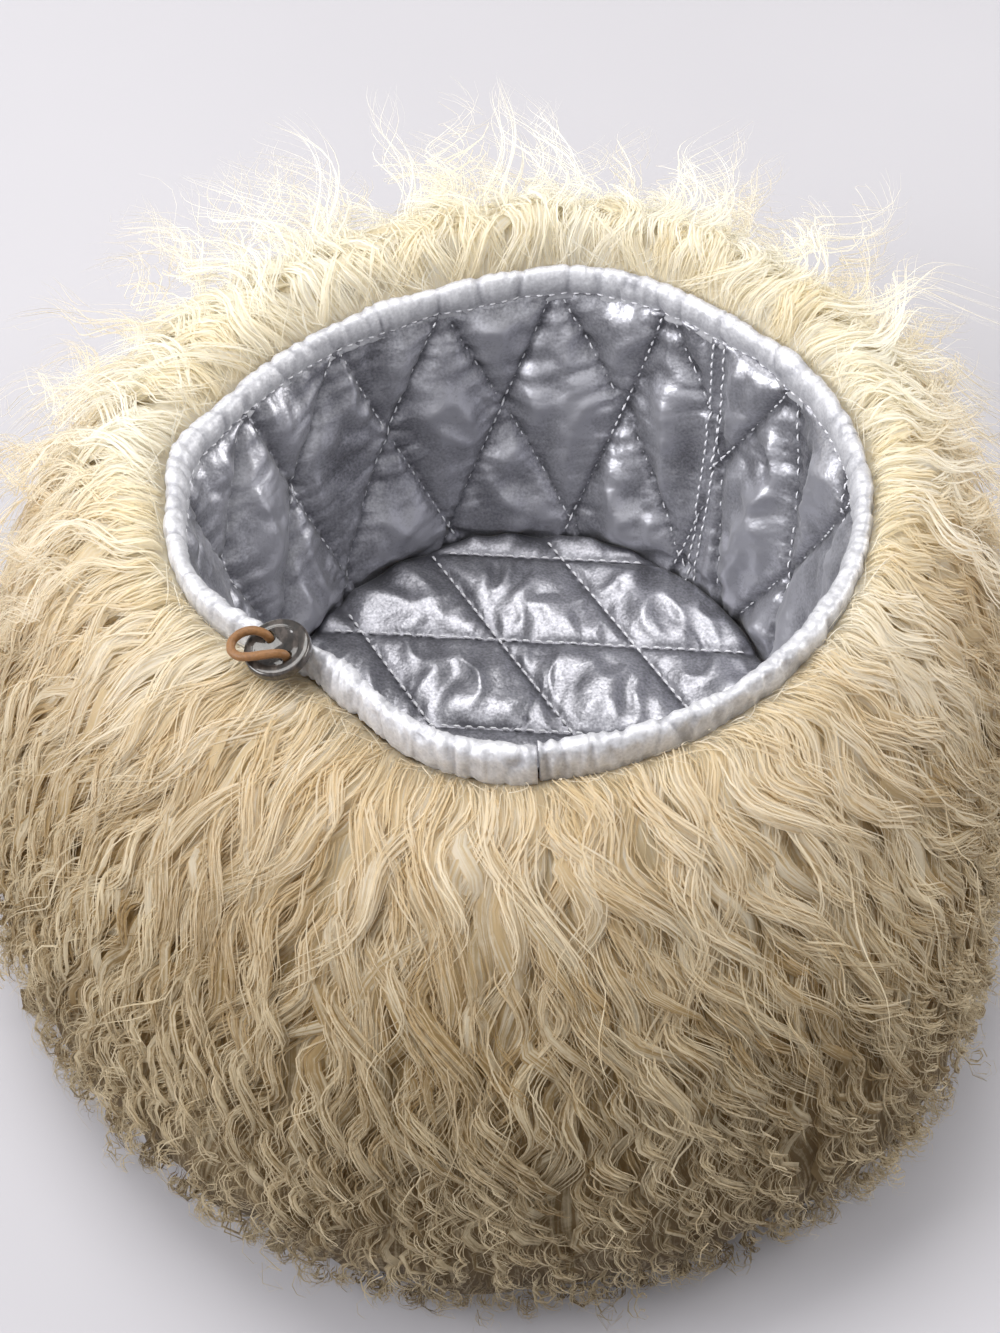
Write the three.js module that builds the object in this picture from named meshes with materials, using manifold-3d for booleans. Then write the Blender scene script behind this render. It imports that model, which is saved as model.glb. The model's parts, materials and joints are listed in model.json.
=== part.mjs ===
// A sheepskin papakha that lies on its crown with the opening up, in millimetres, +Z up.
// The origin is on the floor under the middle of the rim; +Y is the back and +X the right.
// Every wall is a loft: rings of points round the head, one ring for each row of a short profile.

import * as THREE from "three";
import { mergeVertices } from "three/addons/utils/BufferGeometryUtils.js";
import Module from "manifold-3d";

const wasm = await Module();
wasm.setup();

// Driving dimensions.
const GAP = 0.4; // between two pieces that touch
const AROUND = 72; // points in one ring of a wall

// The rim: an ellipse pulled out of round by a few soft folds.
const RIM_HEIGHT = 126;
const RIM_SEMI_X = 102.7;
const RIM_SEMI_Y = 95.5;
const RIM_CENTRE_X = -0.8;
const RIM_CENTRE_Y = -2.5;
const RIM_SLOPE_X = 0.07; // the hat leans: its right side is the higher one
const RIM_SLOPE_Y = -0.017;
const RIM_FOLDS = [
  { azimuth: 227, width: 25, out: -19.7 }, // the dent behind the button
  { azimuth: 166, width: 8, out: 4 },
  { azimuth: 75, width: 21, out: 6.8 },
];

// The lining: a padded band, and the quilted disc on which the head's crown sits.
const LINING_THICK = 4;
const WALL_BELLY = 3; // how far the band bows out at half height
const DISC_RADIUS = 80;
const DISC_CENTRE_X = 3;
const DISC_CENTRE_Y = -14.4;
const DISC_DEPTH = 93.1; // from the rim down to the disc's face
const DISC_THICK = 4;

// The drawstring casing that stands on the band's top edge.
const CASING_TALL = 11;
const CASING_THICK = 4.2;
const CASING_ROUND = 1.6;
const CASING_JOIN = 273; // azimuth where its two ends meet
const CASING_JOIN_GAP = 2;
const CASING_STEPS = 90;

// The wool's outer form: how far it reaches from the middle, and how its crest stands to the rim.
const WOOL_REACH = [
  { azimuth: 0, reach: 160, crest: 3 },
  { azimuth: 30, reach: 167, crest: 10 },
  { azimuth: 60, reach: 169, crest: 14 },
  { azimuth: 90, reach: 169, crest: 16 },
  { azimuth: 120, reach: 173, crest: 14 },
  { azimuth: 150, reach: 177, crest: 9 },
  { azimuth: 180, reach: 175, crest: 2 },
  { azimuth: 205, reach: 182, crest: -4 },
  { azimuth: 230, reach: 195, crest: -7 },
  { azimuth: 262, reach: 209, crest: -7 },
  { azimuth: 290, reach: 203, crest: -5 },
  { azimuth: 305, reach: 197, crest: -4 },
  { azimuth: 330, reach: 170, crest: -1 },
];
// Rows from the crest down to the floor: out is 0 at the rim and 1 at the widest place,
// drop is 0 at the crest and 1 on the floor.
const WOOL_PROFILE = [
  { out: 0.05, drop: 0.012 },
  { out: 0.16, drop: 0 },
  { out: 0.36, drop: 0.06 },
  { out: 0.56, drop: 0.17 },
  { out: 0.75, drop: 0.32 },
  { out: 0.9, drop: 0.49 },
  { out: 1, drop: 0.67 },
  { out: 0.985, drop: 0.83 },
  { out: 0.93, drop: 0.93 },
  { out: 0.82, drop: 1 },
];

const LIP_BELOW_CREST = 1; // where the wool's root meets the casing

// The button and its cord.
const BUTTON_RADIUS = 9.5;
const BUTTON_THICK = 3.4;
const BUTTON_EDGE = 0.9;
const DISH_RADIUS = 6.6;
const DISH_DEPTH = 1.2;
const HOLE_RADIUS = 1.9;
const HOLES = [
  [-2.4, 3.8],
  [2.7, -3.2],
];
const BUTTON_CENTRE = new THREE.Vector3(-65.9, -57.6, RIM_HEIGHT - 1.9);
const BUTTON_NORMAL = new THREE.Vector3(-0.19, -0.086, 0.978).normalize();
const CORD_DIAMETER = 2.6;
const CORD_SIDES = 8;
const CORD_STEPS = 30;
// The cord's route in the button's own frame: x to the right, y to the back, z out of its face.
const CORD_ROUTE = [
  [-2.4, 3.8, -1.6],
  [-2.4, 3.8, 0.4],
  [-3.2, 4.1, 2.5],
  [-5.8, 4.5, 4.1],
  [-9.2, 4, 4.4],
  [-11.9, 2, 4],
  [-12.1, -0.9, 3.7],
  [-9.9, -3.1, 3.7],
  [-6.4, -3.9, 3.9],
  [-2.6, -4, 4.1],
  [0.9, -3.8, 3.6],
  [2.5, -3.4, 2.2],
  [2.7, -3.2, 0.4],
  [2.7, -3.2, -1.6],
];

// Outlines, all by azimuth in degrees.
const radians = THREE.MathUtils.degToRad;
const turnBetween = (a, b) => ((((a - b + 180) % 360) + 360) % 360) - 180;
const directionAt = (azimuth) => new THREE.Vector2(Math.cos(radians(azimuth)), Math.sin(radians(azimuth)));

// Where the ray from the middle meets the rim's ellipse, with the folds added.
function rimRadius(azimuth) {
  const d = directionAt(azimuth);
  const a = (d.x / RIM_SEMI_X) ** 2 + (d.y / RIM_SEMI_Y) ** 2;
  const b = (d.x * RIM_CENTRE_X) / RIM_SEMI_X ** 2 + (d.y * RIM_CENTRE_Y) / RIM_SEMI_Y ** 2;
  const c = (RIM_CENTRE_X / RIM_SEMI_X) ** 2 + (RIM_CENTRE_Y / RIM_SEMI_Y) ** 2 - 1;
  let radius = (b + Math.sqrt(b * b - a * c)) / a;
  for (const fold of RIM_FOLDS) {
    radius += fold.out * Math.exp(-((turnBetween(azimuth, fold.azimuth) / fold.width) ** 2));
  }
  return radius;
}

const rimHeight = (x, y) => RIM_HEIGHT + RIM_SLOPE_X * x + RIM_SLOPE_Y * y;

// A smooth value between the rows of WOOL_REACH, the last row leading back to the first.
function woolValue(azimuth, column) {
  const turn = ((azimuth % 360) + 360) % 360;
  const count = WOOL_REACH.length;
  let i = WOOL_REACH.findLastIndex((row) => row.azimuth <= turn);
  const row = (k) => WOOL_REACH[(k + count) % count];
  const span = turnBetween(row(i + 1).azimuth, row(i).azimuth);
  const t = (turn - row(i).azimuth) / span;
  const [p, q, r, s] = [-1, 0, 1, 2].map((k) => row(i + k)[column]);
  return q + 0.5 * t * (r - p + t * (2 * p - 5 * q + 4 * r - s + t * (3 * (q - r) + s - p)));
}

// A point of the lining's inner face: down is 0 at the rim and 1 at the disc,
// and out moves it away from the hollow.
function liningPoint(azimuth, down, out) {
  const d = directionAt(azimuth);
  const top = rimRadius(azimuth) - CASING_THICK;
  const bow = WALL_BELLY * Math.sin(Math.PI * Math.min(down, 1));
  const x = (1 - down) * d.x * top + down * (DISC_CENTRE_X + DISC_RADIUS * d.x) + d.x * (bow + out);
  const y = (1 - down) * d.y * top + down * (DISC_CENTRE_Y + DISC_RADIUS * d.y) + d.y * (bow + out);
  const floor = RIM_HEIGHT - DISC_DEPTH;
  return [x, y, (1 - down) * rimHeight(d.x * top, d.y * top) + down * floor];
}

// A point of the wool's outer form on one row of its profile.
function woolPoint(azimuth, row) {
  const d = directionAt(azimuth);
  const rim = rimRadius(azimuth) + GAP;
  const radius = rim + row.out * (woolValue(azimuth, "reach") - rim);
  const crest = rimHeight(d.x * rim, d.y * rim) + woolValue(azimuth, "crest");
  return [d.x * radius, d.y * radius, crest * (1 - row.drop)];
}

// Meshes.

// Joins rings of points into one surface. Each ring is a list of points of the same length.
function skin(rings, closedAcross) {
  const count = rings[0].length;
  const positions = rings.flat(2);
  const index = [];
  const lastRing = closedAcross ? rings.length : rings.length - 1;
  for (let i = 0; i < lastRing; i++) {
    for (let k = 0; k < count; k++) {
      const a = i * count + k;
      const b = i * count + ((k + 1) % count);
      const c = ((i + 1) % rings.length) * count + k;
      const d = ((i + 1) % rings.length) * count + ((k + 1) % count);
      index.push(a, b, c, b, d, c);
    }
  }
  return { positions, index, count };
}

// Closes the first and last ring with a fan about the ring's middle.
function capEnds(surface, rings) {
  const middle = (ring) => [0, 1, 2].map((n) => ring.reduce((sum, p) => sum + p[n], 0) / ring.length);
  const first = surface.positions.length / 3;
  surface.positions.push(...middle(rings[0]), ...middle(rings.at(-1)));
  const start = (rings.length - 1) * surface.count;
  for (let k = 0; k < surface.count; k++) {
    const next = (k + 1) % surface.count;
    surface.index.push(first, next, k);
    surface.index.push(first + 1, start + k, start + next);
  }
}

function geometryOf(surface) {
  const geometry = new THREE.BufferGeometry();
  geometry.setAttribute("position", new THREE.Float32BufferAttribute(surface.positions, 3));
  geometry.setIndex(surface.index);
  geometry.computeVertexNormals();
  return geometry;
}

// A wall whose section is a closed loop of rows, carried all the way round.
function ringWall(rowPoints) {
  const rings = rowPoints.map((pointAt) => aroundTheHead(pointAt));
  return geometryOf(skin(rings, true));
}

// A bowl or a disc: rows that start and end at a middle point.
function bowl(rowPoints) {
  const rings = rowPoints.map((pointAt) => aroundTheHead(pointAt));
  const surface = skin(rings, false);
  capEnds(surface, rings);
  return geometryOf(surface);
}

function aroundTheHead(pointAt) {
  return Array.from({ length: AROUND }, (_, k) => pointAt((360 * k) / AROUND));
}

function pieceMesh(name, geometry, colour, roughness, metalness = 0) {
  const mesh = new THREE.Mesh(geometry, new THREE.MeshStandardMaterial({ color: colour, roughness, metalness }));
  mesh.name = name;
  return mesh;
}

// Sheepskin with its wool: the outer form from the floor up to the crest, down inside the rim
// to the lining's back, and across under the crown.
function makeFleece() {
  const backOfLining = CASING_THICK + 1.5 * GAP;
  const floorUnderDisc = RIM_HEIGHT - DISC_DEPTH - DISC_THICK - GAP;
  const outer = WOOL_PROFILE.toReversed().map((row) => (azimuth) => woolPoint(azimuth, row));
  const lip = (azimuth) => {
    const below = LIP_BELOW_CREST + Math.max(-woolValue(azimuth, "crest"), 0);
    return liningPoint(azimuth, below / DISC_DEPTH, backOfLining);
  };
  const downs = [0.12, 0.35, 0.6, 0.8, 0.95];
  const inner = downs.map((down) => (azimuth) => liningPoint(azimuth, down, backOfLining));
  const corner = (azimuth) => {
    const [x, y] = liningPoint(azimuth, 1, backOfLining);
    return [x, y, floorUnderDisc];
  };
  return bowl([...outer, lip, ...inner, corner]);
}

// The quilted band. Its foot reaches down beside the disc.
function makeLiningSide() {
  const topDown = (CASING_TALL + GAP) / DISC_DEPTH;
  const downs = [topDown, 0.3, 0.5, 0.7, 0.88, 1];
  const face = downs.map((down) => (azimuth) => liningPoint(azimuth, down, GAP * (down === 1)));
  const back = downs.map((down) => (azimuth) => liningPoint(azimuth, down, LINING_THICK));
  const foot = (out) => (azimuth) => {
    const [x, y, z] = liningPoint(azimuth, 1, out);
    return [x, y, z - DISC_THICK];
  };
  return ringWall([...back.toReversed(), ...face, foot(GAP), foot(LINING_THICK)]);
}

// The quilted disc at the bottom of the hollow, with a rounded upper edge.
function makeLiningTop() {
  const face = RIM_HEIGHT - DISC_DEPTH;
  const rows = [
    { inset: 0, z: face - DISC_THICK },
    { inset: 0, z: face - 1 },
    { inset: 1.2, z: face },
    { inset: 30, z: face },
  ];
  return bowl(
    rows.map(({ inset, z }) => (azimuth) => {
      const d = directionAt(azimuth).multiplyScalar(DISC_RADIUS - inset);
      return [DISC_CENTRE_X + d.x, DISC_CENTRE_Y + d.y, z];
    }),
  );
}

// The casing is a strip with two ends: its section is carried from one side of the join
// round to the other, in line with the band that it stands on.
function makeRimCasing() {
  const corner = 0.3 * CASING_ROUND;
  const section = [
    { out: 0, below: CASING_TALL },
    { out: 0, below: CASING_ROUND },
    { out: corner, below: corner },
    { out: CASING_ROUND, below: 0 },
    { out: CASING_THICK - CASING_ROUND, below: 0 },
    { out: CASING_THICK - corner, below: corner },
    { out: CASING_THICK, below: CASING_ROUND },
    { out: CASING_THICK, below: CASING_TALL },
  ];
  const openTurn = THREE.MathUtils.radToDeg(CASING_JOIN_GAP / rimRadius(CASING_JOIN));
  const rings = Array.from({ length: CASING_STEPS + 1 }, (_, i) => {
    const azimuth = CASING_JOIN + openTurn / 2 + ((360 - openTurn) * i) / CASING_STEPS;
    return section.map(({ out, below }) => liningPoint(azimuth, below / DISC_DEPTH, out));
  });
  const surface = skin(rings, false);
  capEnds(surface, rings);
  return geometryOf(surface);
}

// Booleans: a closed mesh to a solid and back.
function solidOf(geometry) {
  const plain = geometry.clone();
  plain.deleteAttribute("normal");
  plain.deleteAttribute("uv");
  const merged = mergeVertices(plain, 1e-4);
  return new wasm.Manifold(
    new wasm.Mesh({
      numProp: 3,
      vertProperties: new Float32Array(merged.attributes.position.array),
      triVerts: new Uint32Array(merged.index.array),
    }),
  );
}

function geometryFrom(solid) {
  const { vertProperties, triVerts } = solid.getMesh();
  return geometryOf({ positions: Array.from(vertProperties), index: Array.from(triVerts) });
}

// The button: a turned disc with a rounded edge and a dished face, drilled twice.
function makeButton() {
  const half = BUTTON_THICK / 2;
  const e = BUTTON_EDGE;
  const profile = [
    [0, -half],
    [BUTTON_RADIUS - e, -half],
    [BUTTON_RADIUS - 0.3 * e, -half + 0.3 * e],
    [BUTTON_RADIUS, -half + e],
    [BUTTON_RADIUS, half - e],
    [BUTTON_RADIUS - 0.3 * e, half - 0.3 * e],
    [BUTTON_RADIUS - e, half],
    [DISH_RADIUS, half - 0.1],
    [DISH_RADIUS - 0.8, half - 0.8 * DISH_DEPTH],
    [DISH_RADIUS - 2.4, half - DISH_DEPTH],
    [0, half - DISH_DEPTH],
  ];
  const turned = new THREE.LatheGeometry(
    profile.map(([x, z]) => new THREE.Vector2(x, z)),
    40,
  );
  turned.rotateX(Math.PI / 2);
  let solid = solidOf(turned);
  for (const [x, y] of HOLES) {
    const drill = new THREE.CylinderGeometry(HOLE_RADIUS, HOLE_RADIUS, 3 * BUTTON_THICK, 16);
    drill.rotateX(Math.PI / 2);
    drill.translate(x, y, 0);
    solid = solid.subtract(solidOf(drill));
  }
  return geometryFrom(solid);
}

// The cord: one tube along its route.
function makeButtonCord() {
  const route = new THREE.CatmullRomCurve3(
    CORD_ROUTE.map((p) => new THREE.Vector3(...p)),
    false,
    "centripetal",
  );
  const section = new THREE.Shape(
    Array.from({ length: CORD_SIDES }, (_, i) =>
      directionAt((360 * i) / CORD_SIDES).multiplyScalar(CORD_DIAMETER / 2),
    ),
  );
  return new THREE.ExtrudeGeometry(section, { steps: CORD_STEPS, extrudePath: route });
}

// The hat.
const WOOL = 0xe9dcb8;
const SATIN = 0x9a9ba3;
const CASING = 0xc2c3ca;
const HORN = 0x75695c;
const LEATHER = 0xb07a3c;

const hat = new THREE.Group();
hat.add(pieceMesh("fleece", makeFleece(), WOOL, 0.8));
hat.add(pieceMesh("lining_side", makeLiningSide(), SATIN, 0.35));
hat.add(pieceMesh("lining_top", makeLiningTop(), SATIN, 0.35));
hat.add(pieceMesh("rim_casing", makeRimCasing(), CASING, 0.35));

const buttonGroup = new THREE.Group();
buttonGroup.position.copy(BUTTON_CENTRE);
buttonGroup.quaternion.setFromUnitVectors(new THREE.Vector3(0, 0, 1), BUTTON_NORMAL);
buttonGroup.add(pieceMesh("button", makeButton(), HORN, 0.2));
buttonGroup.add(pieceMesh("button_cord", makeButtonCord(), LEATHER, 0.6));
hat.add(buttonGroup);

export default hat;
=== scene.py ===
# %% [markdown]
# # A sheepskin hat with long curly wool
#
# The hat lies on its crown with the opening up. From the inside out it is made of a quilted
# satin lining (a wall and a disc), a gathered satin casing on the rim, a horn button on a leather
# cord, and wool 60 to 110 mm deep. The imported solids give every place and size. This script
# gives each of them the surface that the real piece has.
#
# Lengths here are in millimetres, as a hat maker measures them. One function turns them
# into Blender's metres when a mesh is made.

# %% The frame
import itertools
import json
import math

import bmesh
import bpy
import numpy as np
from mathutils import Matrix, Vector

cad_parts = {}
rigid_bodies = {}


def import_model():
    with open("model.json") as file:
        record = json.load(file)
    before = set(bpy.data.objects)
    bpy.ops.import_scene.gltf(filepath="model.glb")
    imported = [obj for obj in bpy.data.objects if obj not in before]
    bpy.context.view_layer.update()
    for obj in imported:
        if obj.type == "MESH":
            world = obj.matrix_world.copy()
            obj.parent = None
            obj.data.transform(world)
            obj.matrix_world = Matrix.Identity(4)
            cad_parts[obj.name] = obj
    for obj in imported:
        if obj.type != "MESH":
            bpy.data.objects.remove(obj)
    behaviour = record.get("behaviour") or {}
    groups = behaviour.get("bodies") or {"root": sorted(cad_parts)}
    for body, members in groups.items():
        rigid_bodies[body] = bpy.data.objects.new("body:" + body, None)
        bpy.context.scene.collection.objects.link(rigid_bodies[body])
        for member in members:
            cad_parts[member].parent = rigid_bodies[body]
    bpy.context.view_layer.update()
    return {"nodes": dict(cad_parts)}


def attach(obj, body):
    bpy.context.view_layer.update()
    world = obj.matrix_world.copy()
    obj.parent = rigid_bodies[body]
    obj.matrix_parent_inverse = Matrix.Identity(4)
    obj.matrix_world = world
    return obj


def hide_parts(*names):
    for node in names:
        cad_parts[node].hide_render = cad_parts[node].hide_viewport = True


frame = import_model()
MM = 0.001
print("nodes:", sorted(frame["nodes"]))


def add_object(name, data):
    """An object that shows a mesh, a curve, a light or a camera, put into the scene."""
    added = bpy.data.objects.new(name, data)
    bpy.context.scene.collection.objects.link(added)
    return added


# %% [markdown]
# ## The camera
#
# The photograph looks down on the hat at about 51 degrees from the front. A camera with no
# rotation looks straight down, so it is first rolled, then tipped up, then turned.

# %% Camera
CAMERA_PLACE = (0, -437.6, 594)
CAMERA_TIPPED_UP = 38.475
CAMERA_TURN = 0.736
CAMERA_ROLL = -1.07
CAMERA_LENS = 59.41

camera = add_object("camera", bpy.data.cameras.new("camera"))
camera.data.lens = CAMERA_LENS
camera.data.sensor_width = 36
camera.matrix_world = (
    Matrix.Translation(Vector(CAMERA_PLACE) * MM)
    @ Matrix.Rotation(math.radians(CAMERA_TURN), 4, "Z")
    @ Matrix.Rotation(math.radians(CAMERA_TIPPED_UP), 4, "X")
    @ Matrix.Rotation(math.radians(CAMERA_ROLL), 4, "Z")
)
bpy.context.scene.camera = camera
print("camera looks down by, degrees:", round(90 - CAMERA_TIPPED_UP, 1))

# %% [markdown]
# ## Measures of the hat
#
# Everything hangs on the rim, an oval that is pushed in beside the button. A place on the
# lining is given by its azimuth (90 is the back, 0 the right) and by how far down the hollow
# it lies, 0 at the rim and 1 at the disc.

# %% Measures
RIM_HEIGHT = 126
RIM_SEMI_X, RIM_SEMI_Y = 102.7, 95.5
RIM_CENTRE_X, RIM_CENTRE_Y = -0.8, -2.5
RIM_SLOPE_X, RIM_SLOPE_Y = 0.07, -0.017
RIM_FOLDS = [(227, 25, -19.7), (166, 8, 4), (75, 21, 6.8)]  # azimuth, width, out
CASING_THICK = 4.2
WALL_BELLY = 3
DISC_RADIUS, DISC_DEPTH, DISC_THICK = 80, 93.1, 4
DISC_CENTRE_X, DISC_CENTRE_Y = 3, -14.4


# %% Directions and points
def heading(azimuth):
    turn = np.radians(azimuth)
    return np.cos(turn), np.sin(turn)


def xyz(x, y, z):
    """One array of points from coordinates of any shapes."""
    return np.stack(np.broadcast_arrays(x, y, z), -1)


def unit(vectors):
    return vectors / np.maximum(np.linalg.norm(vectors, axis=-1, keepdims=True), 1e-9)


def hump(distance, width):
    """A smooth hump, 1 in the middle."""
    return np.exp(-((distance / width) ** 2))


def fading(distance, reach):
    """1 where the distance is 0, and fading away over the reach."""
    return np.exp(-distance / reach)


def turn_between(azimuth, other):
    """From one azimuth to another the short way round, -180 to 180."""
    return (np.asarray(azimuth) - other + 180) % 360 - 180


# %% The rim and the lining's face
def rim_radius(azimuth):
    dx, dy = heading(azimuth)
    a = (dx / RIM_SEMI_X) ** 2 + (dy / RIM_SEMI_Y) ** 2
    b = dx * RIM_CENTRE_X / RIM_SEMI_X**2 + dy * RIM_CENTRE_Y / RIM_SEMI_Y**2
    c = (RIM_CENTRE_X / RIM_SEMI_X) ** 2 + (RIM_CENTRE_Y / RIM_SEMI_Y) ** 2 - 1
    radius = (b + np.sqrt(b * b - a * c)) / a
    for fold, width, out in RIM_FOLDS:
        radius = radius + out * hump(turn_between(azimuth, fold), width)
    return radius


def rim_height(x, y):
    return RIM_HEIGHT + RIM_SLOPE_X * x + RIM_SLOPE_Y * y


def lining_point(azimuth, down, out=0):
    """On the lining's face, or `out` mm behind it."""
    dx, dy = heading(azimuth)
    top = rim_radius(azimuth) - CASING_THICK
    bow = WALL_BELLY * np.sin(np.pi * np.clip(down, 0, 1)) + out
    x = (1 - down) * dx * top + down * (DISC_CENTRE_X + DISC_RADIUS * dx) + dx * bow
    y = (1 - down) * dy * top + down * (DISC_CENTRE_Y + DISC_RADIUS * dy) + dy * bow
    z = (1 - down) * rim_height(dx * top, dy * top) + down * (RIM_HEIGHT - DISC_DEPTH)
    return xyz(x, y, z)


print("opening across, mm:", round(float(rim_radius(0) + rim_radius(180)), 1))

# %% [markdown]
# ## Two tools for shapes
#
# Cloth and wool are never regular. Gradient noise gives smooth random humps: a lattice of
# random slopes, blended between the corners of each cell. It is written here with arrays,
# because it is asked for at many thousands of points at once. The random table comes from a
# seeded generator, so each run makes the same hat.

# %% Noise
rng = np.random.default_rng(11)
SHUFFLED = np.tile(rng.permutation(256), 3)
SLOPES = unit(rng.normal(size=(256, 3)))


def noise(points, size, seed=0):
    """Humps about `size` mm wide, from about -1 to 1."""
    places = np.asarray(points, float) / size + np.array((17.3, 5.1, 9.7)) * seed
    cell = np.floor(places).astype(int)
    inside = places - cell
    fade = inside**3 * (inside * (inside * 6 - 15) + 10)
    total = np.zeros(places.shape[:-1])
    for corner in itertools.product((0, 1), repeat=3):
        i, j, k = np.moveaxis((cell + corner) & 255, -1, 0)
        slope = SLOPES[SHUFFLED[SHUFFLED[SHUFFLED[i] + j] + k]]
        share = np.prod(np.where(corner, fade, 1 - fade), axis=-1)
        total += share * (slope * (inside - corner)).sum(-1)
    return 1.7 * total


def ridges(points, size, seed=0):
    """Creases: noise folded at zero, 1 on the crease and falling off to both sides."""
    return 1 - 2.2 * np.abs(noise(points, size, seed))


steps = noise(xyz(np.arange(0, 500, 0.7), 0, 0), 10)
print("noise runs from", steps.min().round(2), "to", steps.max().round(2))

# %% [markdown]
# A mesh is a list of points and a list of faces. Filling it through `foreach_set` is many times
# faster than adding faces one by one, and matters for the wool.

# %% Meshes
def new_piece(name, points, faces, material, replaces=()):
    """An object from points in mm and faces of one size, riding on the hat."""
    mesh = bpy.data.meshes.new(name)
    mesh.vertices.add(len(points))
    mesh.vertices.foreach_set("co", (np.asarray(points) * MM).astype(np.float32).ravel())
    mesh.loops.add(faces.size)
    mesh.loops.foreach_set("vertex_index", faces.astype(np.int32).ravel())
    mesh.polygons.add(len(faces))
    mesh.polygons.foreach_set("loop_start", np.arange(0, faces.size, faces.shape[1], dtype=np.int32))
    mesh.update(calc_edges=True)
    mesh.validate()
    mesh.shade_smooth()
    mesh.materials.append(material)
    piece = add_object(name, mesh)
    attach(piece, "root")
    if replaces:
        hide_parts(*replaces)
    print(name, "triangles:", len(faces) * (faces.shape[1] - 2))
    return piece


def grid_faces(rows, columns, wrap_rows=False, wrap_columns=False):
    """Quads over a grid of points that is stored row by row."""
    row = np.arange(rows if wrap_rows else rows - 1)[:, None]
    column = np.arange(columns if wrap_columns else columns - 1)[None, :]
    below, right = (row + 1) % rows, (column + 1) % columns
    corners = (row, column), (row, right), (below, right), (below, column)
    return np.stack([r * columns + c for r, c in corners], -1).reshape(-1, 4)


def ring_piece(name, rings, material, replaced, closed=True, flipped=False):
    """A piece from rings of points. When closed, the last ring joins the first."""
    faces = grid_faces(len(rings), rings.shape[1], wrap_rows=closed, wrap_columns=True)
    if flipped:
        faces = faces[:, ::-1]
    return new_piece(name, rings.reshape(-1, 3), faces, material, [replaced])


def add_measure(piece, name, values):
    """A number at each point, which the material can read. Points without one have 0."""
    at_points = np.zeros(len(piece.data.vertices), np.float32)
    at_points[: values.size] = values.ravel()
    piece.data.attributes.new(name, "FLOAT", "POINT").data.foreach_set("value", at_points)


# %% [markdown]
# ## Arithmetic for materials
#
# A material is a tree of nodes, and a sum takes a node. This class wraps a node's output
# so that `1 - mask * 0.5` adds the nodes that work it out. A Math node would turn a colour
# grey, so a colour or a vector gets a Vector Math node instead.

# %% Sockets that can be added
def plug(socket, value):
    if isinstance(value, Out):
        socket.id_data.links.new(value.socket, socket)
    elif socket.type in {"RGBA", "VECTOR"} and np.isscalar(value):
        socket.default_value = (value,) * len(socket.default_value)
    elif socket.type == "RGBA":
        socket.default_value = (*value, 1)
    else:
        socket.default_value = value


class Out:
    """A node's output, with arithmetic."""

    def __init__(self, socket):
        self.socket = socket

    def work_out(self, operation, first, second):
        tree = self.socket.id_data
        sockets = [x.socket for x in (first, second) if isinstance(x, Out)]
        wide = any(s.type in {"RGBA", "VECTOR"} for s in sockets)
        node = tree.nodes.new("ShaderNodeVectorMath" if wide else "ShaderNodeMath")
        node.operation = operation
        plug(node.inputs[0], first)
        plug(node.inputs[1], second)
        return Out(node.outputs[0])

    def __add__(self, other):
        return self.work_out("ADD", self, other)

    def __sub__(self, other):
        return self.work_out("SUBTRACT", self, other)

    def __rsub__(self, other):
        return self.work_out("SUBTRACT", other, self)

    def __mul__(self, other):
        return self.work_out("MULTIPLY", self, other)

    __radd__ = __add__
    __rmul__ = __mul__


# %% A material and its nodes
class Finish:
    """A material and the nodes that are added to it."""

    def __init__(self, name):
        self.material = bpy.data.materials.new(name)
        self.material.use_nodes = True
        self.tree = self.material.node_tree
        self.tree.nodes.clear()

    def node(self, kind, settings=None, out=0, **sockets):
        """Any node: its settings first, then the values or links of its sockets."""
        node = self.tree.nodes.new("ShaderNode" + kind)
        for name, value in (settings or {}).items():
            if name == "stops":
                self.set_stops(node.color_ramp.elements, value)
            else:
                setattr(node, name, value)
        for name, value in sockets.items():
            plain = name.replace("_", " ")
            plug(next(s for s in node.inputs if s.enabled and s.name == plain), value)
        return Out([s for s in node.outputs if s.enabled][out])

    def set_stops(self, elements, stops):
        while len(elements) < len(stops):
            elements.new(1)
        for element, (place, colour) in zip(elements, stops):
            element.position = place
            element.color = (*colour, 1)

    def measure(self, name):
        return self.node("Attribute", {"attribute_name": name}, out=2)

    def speckle(self, size, stretch=(1, 1, 1), detail=2, swirl=0, where=None):
        """Blender's noise, 0 to 1, with humps about `size` mm wide."""
        if where is None:
            where = self.node("TexCoord", out=3)
        place = self.node("Mapping", Vector=where, Scale=stretch)
        scale = 1 / (size * MM)
        return self.node("TexNoise", Vector=place, Scale=scale, Detail=detail, Distortion=swirl)

    def ramp(self, factor, *stops):
        return self.node("ValToRGB", {"stops": stops}, Fac=factor)

    def blend(self, factor, first, second):
        return self.node("Mix", {"data_type": "RGBA"}, Factor=factor, A=first, B=second)

    def bump(self, height, distance, strength=1):
        """A bump whose height, 0 to 1, stands for `distance` mm."""
        return self.node("Bump", Height=height, Distance=distance * MM, Strength=strength)

    def mix_shaders(self, share, first, second):
        node = self.tree.nodes.new("ShaderNodeMixShader")
        for socket, value in zip(node.inputs, (share, first, second)):
            plug(socket, value)
        return Out(node.outputs[0])

    def done(self, surface):
        output = self.tree.nodes.new("ShaderNodeOutputMaterial")
        plug(output.inputs["Surface"], surface)
        return self.material

    def principled(self, **sockets):
        """The whole material, where one Principled node is its surface."""
        return self.done(self.node("BsdfPrincipled", **sockets))


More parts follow.
